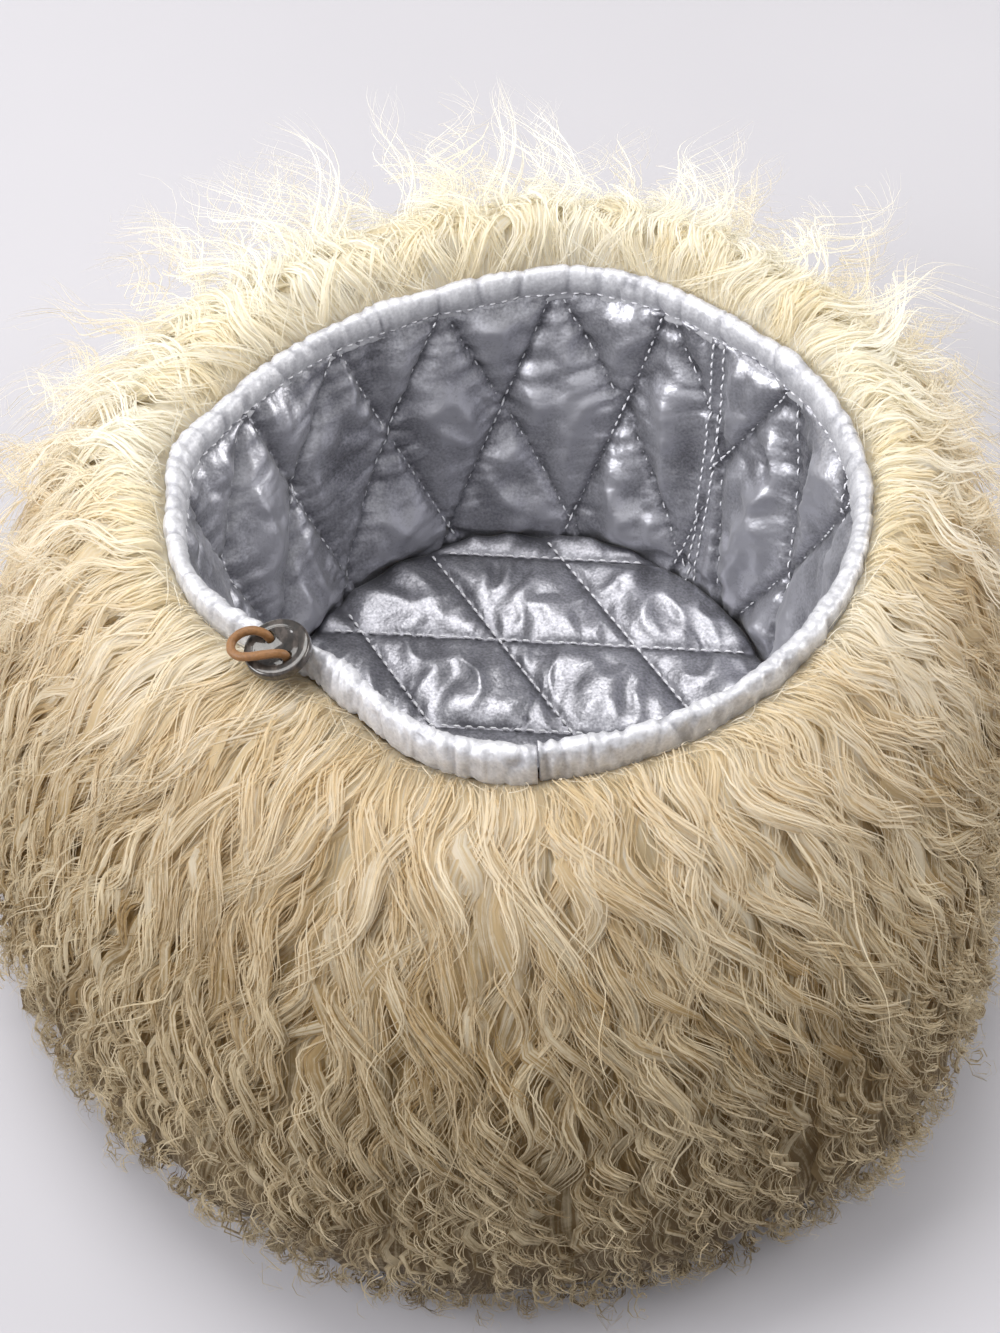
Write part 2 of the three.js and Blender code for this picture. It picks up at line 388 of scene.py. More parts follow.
# %% [markdown]
# ## Satin
#
# Satin is shiny because its long floats of thread lie side by side, and it sparkles where
# single floats catch the light. A partly metallic surface with medium roughness gives the strong
# change from light to dark over every fold, and the casing, which is plumper, takes less of it.
# Fine noise stands for the floats, and coarser noise in the bump for small crinkles. The colour
# holds painted light too: the floats' noise paints their glints, broader noise paints patches
# of sheen, and a number at each point paints shade into the lines and folds.

# %% Satin
def satin(name, light, dark, metallic, roughness):
    finish = Finish(name)
    floats_and_glints = finish.speckle(0.9, detail=3)
    sheen_patches = finish.speckle(8, detail=3)
    crinkles = finish.speckle(2.6, detail=4)
    dent = finish.measure("dent")
    # Painted light in the colour: glints of the floats, patches of sheen, and the painted shading
    # measure, darker in lines, folds and creases and lighter on crests.
    colour = finish.blend(sheen_patches * 0.5 + floats_and_glints * 1.2 - 0.3 - dent * 0.7, dark, light)
    relief = finish.bump(floats_and_glints * 0.25 + crinkles * 0.75, 0.42, 0.65)
    return finish.principled(
        Base_Color=colour,
        Metallic=metallic,
        Roughness=roughness - 0.06 + sheen_patches * 0.12,
        Normal=relief,
        Sheen_Weight=0.2,
        Sheen_Roughness=0.4,
    )


lining_satin = satin("lining_satin", (0.53, 0.53, 0.57), (0.17, 0.17, 0.19), 0.8, 0.39)
casing_satin = satin("casing_satin", (0.66, 0.66, 0.69), (0.36, 0.36, 0.39), 0.35, 0.5)
print("satin nodes:", len(lining_satin.node_tree.nodes))

# %% [markdown]
# ## The lining's wall
#
# Two layers of cloth with wadding between them are stitched together along two families of
# slanting lines, so that diamonds puff up between the lines. The lines are straight in the
# flat cloth. Sixteen diamonds go round, and they spread towards the back of the hollow, where
# the wall leans over the disc. At the right a double stitched seam joins two panels,
# and the second panel was cut at another slant.
#
# The relief is worked out as one number for each place, how far the cloth stands into the
# hollow: puffs between the lines, puckers across them, gathers below the casing and creases.
# A second number paints light and shade into the satin's colour: shade in the lines, in the
# folds and under the casing, and highlights on the crests of the folds and on one side of
# each line.

# %% Quilting lines of the wall
QUILT_PITCH = 22.5
QUILT_FIRST = 60
QUILT_TOP, QUILT_TALL = 0.05, 0.88
QUILT_SPREAD = 0.25
QUILT_STEP = 35  # mm between lines
SEAMS = (46.5, 226.5)
SLANT_FIRST, SLANT_PITCH, SLANT_TURN = -3.8, 29, 48
UPRIGHT_FIRST, UPRIGHT_PITCH = 27.6, 22.4
MM_PER_DEGREE = 1.68
WALL_TOP, WALL_END = 0.085, 1.03
SEAM_ASIDE = 2.1  # mm from the seam to each of its two rows of stitches


def cloth_azimuth(azimuth, down):
    """Azimuth in the flat cloth, which is narrower than the hollow at the back."""
    return azimuth - np.degrees(QUILT_SPREAD) * down * np.sin(np.radians(azimuth - 94))


def in_first_panel(azimuth):
    return (np.asarray(azimuth) - SEAMS[0]) % 360 < 180


def quilt_counts(azimuth, down):
    """Two numbers that are whole on the lines of the two families."""
    flat = cloth_azimuth(azimuth, down)
    lean = (down - QUILT_TOP) / QUILT_TALL
    column = (flat - QUILT_FIRST) / QUILT_PITCH
    turned = turn_between(flat, 0)
    slanted = (turned - SLANT_FIRST - SLANT_TURN * down) / SLANT_PITCH
    upright = (turned - UPRIGHT_FIRST) / UPRIGHT_PITCH
    first = in_first_panel(azimuth)
    return np.where(first, column + lean, slanted), np.where(first, column - lean, upright)


def off_line(count):
    """mm to the nearest line of a family."""
    return np.abs(count - np.round(count)) * QUILT_STEP


def overlap(count):
    """1 on one side of a line and -1 on the other, where the cloth folds over it."""
    beside = (count - np.round(count)) * QUILT_STEP
    return np.tanh(beside / 0.9) * fading(np.abs(beside), 3.5)


counts = quilt_counts(np.array([90.0, 300.0]), 0.5)
print("line numbers at the back and at the front:", *(c.round(2) for c in counts))


# %% Relief of the wall
PUFF, PUFF_REACH = 5.0, 5.0


def puffed(one, two):
    """0 on a line of either family, towards 1 in the middle of a diamond."""
    return (1 - fading(one, PUFF_REACH)) * (1 - fading(two, PUFF_REACH))


def wall_relief(azimuth, down):
    """mm that the cloth stands into the hollow, and the light and shade painted into its colour."""
    places = lining_point(azimuth, down)
    counts = quilt_counts(azimuth, down)
    one, two = (off_line(c) for c in counts)
    lap = sum(overlap(c) for c in counts)
    off_seam = np.minimum(*(np.abs(turn_between(azimuth, s)) for s in SEAMS)) * MM_PER_DEGREE
    below_casing = np.clip(down - WALL_TOP, 0, 1) * DISC_DEPTH
    under_casing = fading(below_casing, 5)
    puff = puffed(one, two)
    puff *= 1 - 0.7 * hump(off_seam, 6)
    puff = puff * (1 - fading(np.clip(1 - down, 0, 1) * DISC_DEPTH, 5))
    puff = puff * (1 - under_casing)
    near = np.minimum(one, two)
    wander = 4 * noise(places, 16, 2)
    run = places[..., 2] * 1.1 + wander + azimuth * 0.35
    puckers = ridges(xyz(run, near * 0.25, 0), 6, 9) * fading(near, 6)
    crossing = fading(np.hypot(one, two), 7)
    turn = np.arctan2(one, two)
    star = np.sin(turn * 9 + 3 * noise(places, 30, 10)) * crossing
    bent = places * (1, 1, 0.5) + 7 * noise(places, 26, 3)[..., None]
    creases = ridges(bent, 20, 4)
    broad = noise(places * (1, 1, 0.7), 26, 5)
    small = noise(places + 3 * noise(places, 12, 6)[..., None], 8, 7)
    around = xyz(azimuth * MM_PER_DEGREE, down * 20, 0)
    gathers = ridges(around, 7, 8) * fading(below_casing, 13)
    ridge = hump(off_seam - SEAM_ASIDE, 0.9)
    deeper = 1 + 0.7 * hump(turn_between(azimuth, 25), 35)
    folds = (2.5 * creases + 1.8 * broad + 1.2 * small) * puff * deeper
    relief = (
        PUFF * puff
        + folds
        + 1.2 * lap
        + 1.4 * puckers * (1 - fading(near, 0.6))
        + 1.0 * star
        + 1.1 * gathers
        + 0.9 * ridge
        - 1.2
    )
    # Painted shading: darker in the lines and under the casing, lighter on the fold crests and
    # puckers, lighter on one side of each line and darker on the other; and the whole wall a little
    # lighter than the disc.
    dent = fading(near, 1.6) + 0.6 * under_casing - 0.28 * folds - 0.4 * puckers - 0.3 * lap
    return relief, dent - 0.2


# %% The wall
WALL_AROUND, WALL_ROWS = 440, 72
WALL_BACK = [(WALL_END, 3.8), (0.5, 3.8), (WALL_TOP, 1.5)]  # down, out; thinnest in the casing

azimuths = np.arange(WALL_AROUND) * 360 / WALL_AROUND
downs = np.linspace(WALL_TOP, WALL_END, WALL_ROWS)[:, None]
relief, dent = wall_relief(azimuths, downs)
face = lining_point(azimuths, downs, -relief)
back_downs, back_outs = np.transpose(WALL_BACK)[..., None]
back = lining_point(azimuths, back_downs, back_outs)
rings = np.concatenate([face, back])
wall = ring_piece("lining_wall", rings, lining_satin, "lining_side")
add_measure(wall, "dent", dent)

# %% [markdown]
# ## The lining's disc
#
# The bottom of the hollow is the same quilting, seen almost face on. It lies loose,
# so it shows the deepest wrinkles: soft waves that turn the light from white to grey within
# a few millimetres. The waves are noise whose places are themselves pushed about by noise,
# which bends straight humps into flowing ones.

# %% Relief of the disc
DISC_FACE = RIM_HEIGHT - DISC_DEPTH
DISC_LINES = [(121.334, 31.994), (-4.543, 54.949)]  # direction, place of the first line
DISC_STEP = 36.545


def disc_counts(x, y):
    counts = []
    for direction, first in DISC_LINES:
        dx, dy = heading(direction)
        counts.append((first - (dx * y - dy * x)) / DISC_STEP)
    return counts


def disc_relief(x, y):
    places = xyz(x, y, 0.0)
    one, two = (np.abs(c - np.round(c)) * DISC_STEP for c in disc_counts(x, y))
    from_edge = DISC_RADIUS - np.hypot(x - DISC_CENTRE_X, y - DISC_CENTRE_Y)
    puff = puffed(one, two)
    near = np.minimum(one, two)
    pushed = places + 8 * xyz(*(noise(places, 26, s) for s in (20, 21, 22)))
    waves = noise(pushed * (1, 0.45, 1), 9, 23)
    creases = ridges(pushed * (1, 0.6, 1), 13, 24)
    broad = noise(places, 30, 27)
    puckers = ridges(pushed * (1, 0.3, 1), 6.5, 26) * fading(near, 7)
    folds = (1.5 * waves + 1.5 * creases + 1.2 * broad) * puff
    relief = (
        3.2 * puff
        + folds
        + 0.7 * puckers * (1 - fading(near, 0.6))
        - 1.2 * fading(from_edge, 2.5)
    )
    # The second number is painted shading: darker near the lines and at the edge under the wall,
    # lighter on the fold crests, and darker all over than the wall, which tames the disc's
    # reflections.
    return relief, fading(near, 1.3) + 0.8 * fading(from_edge, 2) - 0.12 * folds + 0.4


def disc_point(x, y, lift=0):
    return xyz(x, y, DISC_FACE + disc_relief(x, y)[0] + lift)


print("the disc's height at its middle, mm:", disc_point(DISC_CENTRE_X, DISC_CENTRE_Y)[2].round(1))

# %% The disc
DISC_AROUND, DISC_RINGS = 280, 84
DISC_MIDDLE, DISC_CROWDING = 0.00001, 0.85  # rings crowd a little towards the edge
DISC_GAP = 0.3  # to the wall
DISC_THINNER = 0.2  # than the solid

dx, dy = heading(np.arange(DISC_AROUND) * 360 / DISC_AROUND)
shares = np.linspace(DISC_MIDDLE, 1, DISC_RINGS)[:, None] ** DISC_CROWDING
radii = (DISC_RADIUS - DISC_GAP) * shares
disc_x, disc_y = DISC_CENTRE_X + radii * dx, DISC_CENTRE_Y + radii * dy
top_face = disc_point(disc_x, disc_y)
inwards = [-1, DISC_RINGS // 2, 0]
under = xyz(disc_x[inwards], disc_y[inwards], DISC_FACE - DISC_THICK + DISC_THINNER)
rings = np.concatenate([top_face, under])
disc = ring_piece("lining_disc", rings, lining_satin, "lining_top", flipped=True)
add_measure(disc, "dent", disc_relief(disc_x, disc_y)[1])

# %% [markdown]
# ## The rim casing
#
# A strip of satin is folded over a drawstring and gathered, so it is plump and covered in
# short creases across it. Its ends meet at the front with a small step. The section is
# a rounded oblong carried round the rim, and the creases are folded noise along the rim. Beside
# the button the casing is pinched thin.

# %% Section and gathers of the casing
CASING_BELOW, CASING_HALF_TALL = 5.2, 5.9  # the section's middle lies below the rim
CASING_OUT, CASING_HALF_THICK = 2, 3.0
CASING_ROUND = 0.85
CASING_JOIN, CASING_JOIN_GAP = 273, 0.5
CASING_AROUND, CASING_SIDES = 900, 24
CASING_STITCH = 8
PINCH_AZIMUTH, PINCH_WIDTH, PINCH_SHARE = 221, 7, 0.42
JOIN_STEP, JOIN_STEP_WIDTH = 0.9, 9
GROOVE_DEPTH, GROOVE_WIDTH = 1.4, 1.2
CAP_SHARES = (0.86, 0.5, 0.05)  # rings that close each end


def casing_gathers(azimuth, below, out):
    """Swelling of the casing in mm, plump between sharp valleys, and the shade painted into its
    colour: darker in the valleys, lighter on the crumples and creases.
    """
    run = xyz(azimuth * MM_PER_DEGREE, below * 0.3, out * 0.3)
    bent = run + 4 * noise(run, 22, 30)[..., None]
    valleys = np.minimum(np.abs(noise(bent, 9, 31)) * 6, 1)  # 0 in a valley
    creases = ridges(bent, 3.6, 34)
    front = np.clip(0.45 - 0.55 * np.sin(np.radians(azimuth)), 0, 1)
    crumples = ridges(run * (1, 3, 3), 3.4, 33) * front
    lumps = noise(run, 15, 32)
    swell = 0.45 * valleys + 0.35 * creases + 0.5 * crumples + 0.7 * lumps - 0.6
    # The second value is painted shading, dark in the valleys and light on the crumples and creases.
    return swell, np.exp(-valleys * 3) - 0.25 * crumples - 0.25 * creases


def squared_off(value, power):
    """A sine or cosine pushed outwards, which turns an oval into a rounded oblong."""
    return np.sign(value) * np.abs(value) ** power


def casing_point(azimuth, turn, lift=0):
    """On the casing's skin; `turn` goes round its section, 0 at the outer face."""
    across, along = np.cos(turn), np.sin(turn)
    pinch = 1 - PINCH_SHARE * hump(turn_between(azimuth, PINCH_AZIMUTH), PINCH_WIDTH)
    past_join = turn_between(azimuth, CASING_JOIN)
    step = np.where(past_join < 0, JOIN_STEP, -JOIN_STEP)
    step = step * fading(np.abs(past_join), JOIN_STEP_WIDTH)
    out = CASING_OUT + step + CASING_HALF_THICK * pinch * squared_off(across, 0.72)
    below = CASING_BELOW + CASING_HALF_TALL * squared_off(along, CASING_ROUND)
    groove = GROOVE_DEPTH * hump(below - CASING_STITCH, GROOVE_WIDTH) * (across < 0)
    swell = casing_gathers(azimuth, below, out)[0] + lift
    down = (below + swell * along) / DISC_DEPTH
    return lining_point(azimuth, down, out + swell * across + groove)


print("the casing's section, mm:", 2 * CASING_HALF_THICK, "by", 2 * CASING_HALF_TALL)

# %% The casing
half_gap = math.degrees(CASING_JOIN_GAP / 2 / float(rim_radius(CASING_JOIN)))
casing_azimuths = np.linspace(CASING_JOIN + half_gap, CASING_JOIN + 360 - half_gap, CASING_AROUND)
casing_turns = np.arange(CASING_SIDES) * 2 * np.pi / CASING_SIDES
skin = casing_point(casing_azimuths[:, None], casing_turns[None, :])
below = CASING_BELOW + CASING_HALF_TALL * np.sin(casing_turns)
out = CASING_OUT + CASING_HALF_THICK * np.cos(casing_turns)
dent = casing_gathers(casing_azimuths[:, None], below, out)[1]
caps = []
for end in (0, -1):
    centre = skin[end].mean(0)
    caps.append([centre + (skin[end] - centre) * share for share in CAP_SHARES])
rings = np.concatenate([caps[0][::-1], skin, caps[1]])
casing = ring_piece("casing", rings, casing_satin, "rim_casing", closed=False)
# The end caps get no painted shading.
unshaded = np.zeros((len(CAP_SHARES), CASING_SIDES))
add_measure(casing, "dent", np.concatenate([unshaded, dent]))

# %% [markdown]
# ## Stitches
#
# Each stitch is a short length of pale thread that dips into the cloth at both ends. One small
# spindle is copied to every place, and all of them are one mesh: a thousand objects would
# only slow Blender down. The stitch lines are the lines of the relief, so each thread lies at
# the bottom of its groove.

# %% Spindles of thread
STITCH_PITCH, STITCH_LONG, STITCH_RADIUS = 3.9, 2.8, 0.46
STITCH_BOW = 0.45
FINE_RADIUS = 0.36  # on the wall and the casing
SPINDLE_SIDES = 4
SPINDLE_ROWS = [(0, 0.1), (0.28, 0.95), (0.72, 0.95), (1, 0.1)]  # along, thickness


def stitches(start, end, normal, radius=STITCH_RADIUS):
    """Points and faces of a spindle from each start to each end, bowed along its normal."""
    along = end - start
    side = unit(np.cross(along, normal))
    rows = []
    for place, thick in SPINDLE_ROWS:
        middle = start + along * place + normal * STITCH_BOW * math.sin(math.pi * place)
        for k in range(SPINDLE_SIDES):
            turn = 2 * math.pi * k / SPINDLE_SIDES
            offset = side * math.cos(turn) + normal * math.sin(turn)
            rows.append(middle + offset * radius * thick)
    points = np.stack(rows, 1)
    one = grid_faces(len(SPINDLE_ROWS), SPINDLE_SIDES, wrap_columns=True)
    faces = one[None] + np.arange(len(start))[:, None, None] * points.shape[1]
    return points.reshape(-1, 3), faces.reshape(-1, 4)


def inwards_from(places):
    """Level directions from the lining's face to the hollow's axis."""
    return unit((np.array((DISC_CENTRE_X, DISC_CENTRE_Y, 0)) - places) * (1, 1, 0))


# %% Thread on the wall
WALL_THREAD_TOP, WALL_THREAD_TALL = WALL_TOP + 0.01, 0.97 - WALL_TOP
WALL_THREAD_LIFT = 0.05
SEAM_PITCH, SEAM_STITCH, SEAM_LONG, SEAM_TOP = 3.1, 2.2, 84, 0.095


def wall_stitch_point(azimuth, down):
    return lining_point(azimuth, down, -wall_relief(azimuth, down)[0] - WALL_THREAD_LIFT)


def real_azimuth(flat, down):
    """Turns an azimuth in the flat cloth back into one in the hollow."""
    azimuth = flat
    for _ in range(8):
        azimuth = flat + np.degrees(QUILT_SPREAD) * down * np.sin(np.radians(azimuth - 94))
    return azimuth


def leaning(index, lean):
    return QUILT_FIRST + QUILT_PITCH * (index + lean)


QUILT_LINES = [  # first panel, line numbers, mm long, cloth azimuth by number and by down
    (True, range(-1, 10), 102, lambda i, down: leaning(i, -(down - QUILT_TOP) / QUILT_TALL)),
    (True, range(-1, 10), 102, lambda i, down: leaning(i, (down - QUILT_TOP) / QUILT_TALL)),
    (False, range(-7, 3), 123, lambda i, down: SLANT_FIRST + SLANT_PITCH * i + SLANT_TURN * down),
    (False, range(-7, 2), 93, lambda i, down: UPRIGHT_FIRST + UPRIGHT_PITCH * i + 0 * down),
]

starts, ends = [], []
for first, indexes, long, line in QUILT_LINES:
    for index in indexes:
        mm = np.arange(0.5, long - STITCH_LONG, STITCH_PITCH) + [[0], [STITCH_LONG]]
        down = WALL_THREAD_TOP + WALL_THREAD_TALL * mm / long
        azimuth = real_azimuth(line(index, down), down)
        kept = (in_first_panel(azimuth) == first).all(0)
        for row, ends_of_thread in enumerate((starts, ends)):
            ends_of_thread.append(wall_stitch_point(azimuth[row, kept], down[row, kept]))
for seam, side in itertools.product(SEAMS, (-1, 1)):
    mm = np.arange(0, SEAM_LONG, SEAM_PITCH)
    azimuth = np.full(len(mm), seam + side * SEAM_ASIDE / MM_PER_DEGREE)
    starts.append(wall_stitch_point(azimuth, SEAM_TOP + mm / DISC_DEPTH))
    ends.append(wall_stitch_point(azimuth, SEAM_TOP + (mm + SEAM_STITCH) / DISC_DEPTH))
starts, ends = np.concatenate(starts), np.concatenate(ends)
wall_thread = stitches(starts, ends, inwards_from(starts), FINE_RADIUS)
print("stitches on the wall:", len(starts))

# %% Thread on the disc and on the casing
DISC_THREAD_LIFT, CASING_THREAD_LIFT = 0.8, 0.1
DISC_THREAD_INSET = 2.5
DISC_THREAD_ROWS, DISC_THREAD_REACH = range(-2, 7), 90
CASING_THREAD_FROM, CASING_THREAD_TO = 2, 357  # degrees from the join
CASING_STITCH_SHARE = 0.66  # of the pitch

starts, ends = [], []
for (direction, first), index in itertools.product(DISC_LINES, DISC_THREAD_ROWS):
    dx, dy = heading(direction)
    offset = first - DISC_STEP * index
    middle = DISC_CENTRE_X * dx + DISC_CENTRE_Y * dy
    mm = np.arange(-DISC_THREAD_REACH, DISC_THREAD_REACH, STITCH_PITCH)
    for along, kept in ((middle + mm, starts), (middle + (mm + STITCH_LONG), ends)):
        x, y = dx * along - dy * offset, dy * along + dx * offset
        kept.append(disc_point(x, y, DISC_THREAD_LIFT))
starts, ends = np.concatenate(starts), np.concatenate(ends)
off_centre = np.stack([starts, ends])[..., :2] - (DISC_CENTRE_X, DISC_CENTRE_Y)
reach = np.hypot(off_centre[..., 0], off_centre[..., 1]).max(0)
inside = reach < DISC_RADIUS - DISC_THREAD_INSET
upward = np.tile((0.0, 0.0, 1.0), (inside.sum(), 1))
disc_thread = stitches(starts[inside], ends[inside], upward)

step = STITCH_PITCH / MM_PER_DEGREE
casing_from = CASING_JOIN + np.arange(CASING_THREAD_FROM, CASING_THREAD_TO, step)
stitch_place = (CASING_STITCH - CASING_BELOW) / CASING_HALF_TALL
inner_turn = math.pi - math.asin(stitch_place ** (1 / CASING_ROUND))
casing_to = casing_from + step * CASING_STITCH_SHARE
starts, ends = (casing_point(a, inner_turn, CASING_THREAD_LIFT) for a in (casing_from, casing_to))
casing_thread = stitches(starts, ends, inwards_from(starts), FINE_RADIUS)
print("stitches on the disc and the casing:", inside.sum(), len(starts))

# %% The thread's mesh and finish
finish = Finish("sewing_thread")
twist = finish.speckle(0.3, detail=1)
thread = finish.principled(
    Base_Color=finish.blend(twist, (0.68, 0.68, 0.72), (0.95, 0.95, 0.98)),
    Roughness=0.5,
    Normal=finish.bump(twist, 0.1, 0.5),
    Sheen_Weight=0.3,
)
points, faces, count = [], [], 0
for some_points, some_faces in (wall_thread, disc_thread, casing_thread):
    points.append(some_points)
    faces.append(some_faces + count)
    count += len(some_points)
new_piece("stitches", np.concatenate(points), np.concatenate(faces), thread)

# %% [markdown]
# ## The button
#
# The button is turned from horn: a round edge, a flat ring and a dish in the middle, with
# two holes. Turning is a profile carried round an axis. The holes are cut
# with a Boolean, as a drill would cut them. The horn is clouded grey and brown and polished.

# %% Horn
finish = Finish("marbled_horn")
clouds = finish.speckle(5, stretch=(1, 0.6, 1.5), detail=6)
veins = finish.speckle(2.2, stretch=(1.6, 0.7, 1), detail=3)
horn_colour = finish.ramp(
    clouds * 0.7 + veins * 0.3,
    (0.36, (0.006, 0.005, 0.004)),
    (0.47, (0.022, 0.016, 0.013)),
    (0.54, (0.065, 0.052, 0.045)),
    (0.62, (0.016, 0.012, 0.01)),
)
horn = finish.principled(
    Base_Color=horn_colour,
    Roughness=0.3 + veins * 0.2,
    Specular_IOR_Level=0.25,
    Coat_Weight=1.0,
    Coat_Roughness=0.05,
    Normal=finish.bump(finish.speckle(0.9, detail=3), 0.25, 0.5),
)
print("horn nodes:", len(horn.node_tree.nodes))

# %% Button
BUTTON_RADIUS, BUTTON_HALF, BUTTON_EDGE = 9.5, 1.7, 0.9
DISH_RADIUS, DISH_DEPTH = 6.6, 1.2
HOLE_RADIUS = 1.9
HOLES = [(-2.4, 3.8), (2.7, -3.2)]
BUTTON_CENTRE = Vector((-65.9, -57.6, RIM_HEIGHT - 1.9))
BUTTON_NORMAL = Vector((-0.19, -0.086, 0.978)).normalized()
BUTTON_SIDES, HOLE_SIDES = 96, 40
DRILL_LONG = 8

lean = Vector((0, 0, 1)).rotation_difference(BUTTON_NORMAL).to_matrix().to_4x4()
to_button = Matrix.Translation(BUTTON_CENTRE) @ lean


def in_hat(points):
    """From the button's own frame to the hat's."""
    return np.array([to_button @ Vector(p) for p in points])


flat_radius, flat_half = BUTTON_RADIUS - BUTTON_EDGE, BUTTON_HALF - BUTTON_EDGE
edge = [
    (flat_radius + BUTTON_EDGE * math.cos(t), flat_half + BUTTON_EDGE * math.sin(t))
    for t in np.radians(np.linspace(0, 90, 7))
]
dish = [
    (DISH_RADIUS * r, BUTTON_HALF - DISH_DEPTH * (1 - r**2.4))
    for r in (0.99, 0.95, 0.88, 0.78, 0.64, 0.48, 0.3, 0.12)
]
profile = [(0.1, -BUTTON_HALF), (4, -BUTTON_HALF)]
profile += [(r, -z) for r, z in reversed(edge)] + edge
profile += [(DISH_RADIUS + 0.5, BUTTON_HALF), (DISH_RADIUS + 0.1, BUTTON_HALF - 0.04)] + dish
turned = [
    (r * math.cos(t), r * math.sin(t), z)
    for r, z in profile
    for t in np.arange(BUTTON_SIDES) * 2 * math.pi / BUTTON_SIDES
]
rings = in_hat(turned).reshape(len(profile), BUTTON_SIDES, 3)
button = ring_piece("horn_button", rings, horn, "button", closed=False)

# %% [markdown]
# The turned skin is open by a pin prick at the axis, above and below. Filling both with a face
# closes it, and only a closed solid can be drilled.

# %% Closing and drilling
shape = bmesh.new()
shape.from_mesh(button.data)
bmesh.ops.holes_fill(shape, edges=shape.edges, sides=0)
bmesh.ops.recalc_face_normals(shape, faces=shape.faces)
shape.to_mesh(button.data)
shape.free()
drills = bmesh.new()
for x, y in HOLES:
    place = to_button @ Matrix.Translation((x, y, 0))
    made = bmesh.ops.create_cone(
        drills,
        cap_ends=True,
        segments=HOLE_SIDES,
        radius1=HOLE_RADIUS,
        radius2=HOLE_RADIUS,
        depth=DRILL_LONG,
    )
    bmesh.ops.transform(drills, matrix=place, verts=made["verts"])
bmesh.ops.scale(drills, vec=(MM, MM, MM), verts=drills.verts)
drill_mesh = bpy.data.meshes.new("drills")
drills.to_mesh(drill_mesh)
drills.free()
drill = add_object("drills", drill_mesh)
cut = button.modifiers.new("holes", "BOOLEAN")
cut.operation, cut.object, cut.solver = "DIFFERENCE", drill, "EXACT"
seen = bpy.context.evaluated_depsgraph_get()
drilled = bpy.data.meshes.new_from_object(button.evaluated_get(seen))
button.modifiers.clear()
button.data = drilled
bpy.data.objects.remove(drill)
button.data.shade_smooth()
button.data.set_sharp_from_angle(angle=math.radians(32))
print("button faces after drilling:", len(button.data.polygons))

# %% [markdown]
# ## The leather cord
#
# A round cord comes up through one hole, loops out over the edge and goes back
# down the other. A curve with a round bevel is a cord of one thickness, and it takes the same
# points as the solid that stands for it. The spline is smoothed here, so that it passes
# through every point.

# %% The cord's route
CORD_DIAMETER = 2.6
CORD_ROUTE = [
    (-2.4, 3.8, -1.6),
    (-2.4, 3.8, 0.4),
    (-3.2, 4.1, 2.5),
    (-5.8, 4.5, 4.1),
    (-9.2, 4, 4.4),
    (-11.9, 2, 4),
    (-12.1, -0.9, 3.7),
    (-9.9, -3.1, 3.7),
    (-6.4, -3.9, 3.9),
    (-2.6, -4, 4.1),
    (0.9, -3.8, 3.6),
    (2.5, -3.4, 2.2),
    (2.7, -3.2, 0.4),
    (2.7, -3.2, -1.6),
]


def smooth_route(route, parts):
    """Catmull-Rom through the points, spaced by the square root of their distance."""
    p = np.array(route, float)
    p = np.concatenate([2 * p[:1] - p[1:2], p, 2 * p[-1:] - p[-2:-1]])
    steps = np.sqrt(np.linalg.norm(np.diff(p, axis=0), axis=1))
    knots = np.concatenate([[0], np.cumsum(steps)])
    result = []
    for i in range(1, len(p) - 2):
        t = np.linspace(knots[i], knots[i + 1], parts, endpoint=False)[:, None]
        blended = p[i - 1 : i + 3]  # three rounds of blending turn four points into one
        for lows, span in (((i - 1, i, i + 1), 1), ((i - 1, i), 2), ((i,), 1)):
            blended = [
                ((knots[j + span] - t) * one + (t - knots[j]) * two) / (knots[j + span] - knots[j])
                for j, one, two in zip(lows, blended, blended[1:])
            ]
        result += blended
    return np.concatenate([*result, p[-2:-1]])


print("points of the cord's route:", len(CORD_ROUTE))


# %% Leather and cord
finish = Finish("tan_leather")
grain = finish.speckle(0.8, detail=4)
wear = finish.speckle(4, detail=2)
leather = finish.principled(
    Base_Color=finish.blend(grain * 0.6 + wear * 0.4, (0.07, 0.027, 0.007), (0.34, 0.155, 0.043)),
    Roughness=0.42 + grain * 0.2,
    Normal=finish.bump(grain, 0.25, 0.6),
    Sheen_Weight=0.1,
)
route = in_hat(smooth_route(CORD_ROUTE, 7))
curve = bpy.data.curves.new("leather_cord", "CURVE")
curve.dimensions = "3D"
curve.bevel_depth = CORD_DIAMETER / 2 * MM
curve.bevel_resolution = 5
curve.use_fill_caps = True
spline = curve.splines.new("POLY")
spline.points.add(len(route) - 1)
spline.points.foreach_set("co", np.c_[route * MM, np.ones(len(route))].ravel())
spline.use_smooth = True
curve.materials.append(leather)
cord = add_object("leather_cord", curve)
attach(cord, "root")
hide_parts("button_cord")
print("cord, mm:", round(float(np.linalg.norm(np.diff(route, axis=0), axis=1).sum()), 1))

# %% [markdown]
# ## The wool's outer form
#
# The wool fans out from the rim, bends over and hangs to the floor. Its outer form is a
# profile, how far out and how far down, carried round the hat with a reach and a crest that
# change with the azimuth. Locks are laid along this form: `along` is 0 at the casing and 1 at
# the floor.

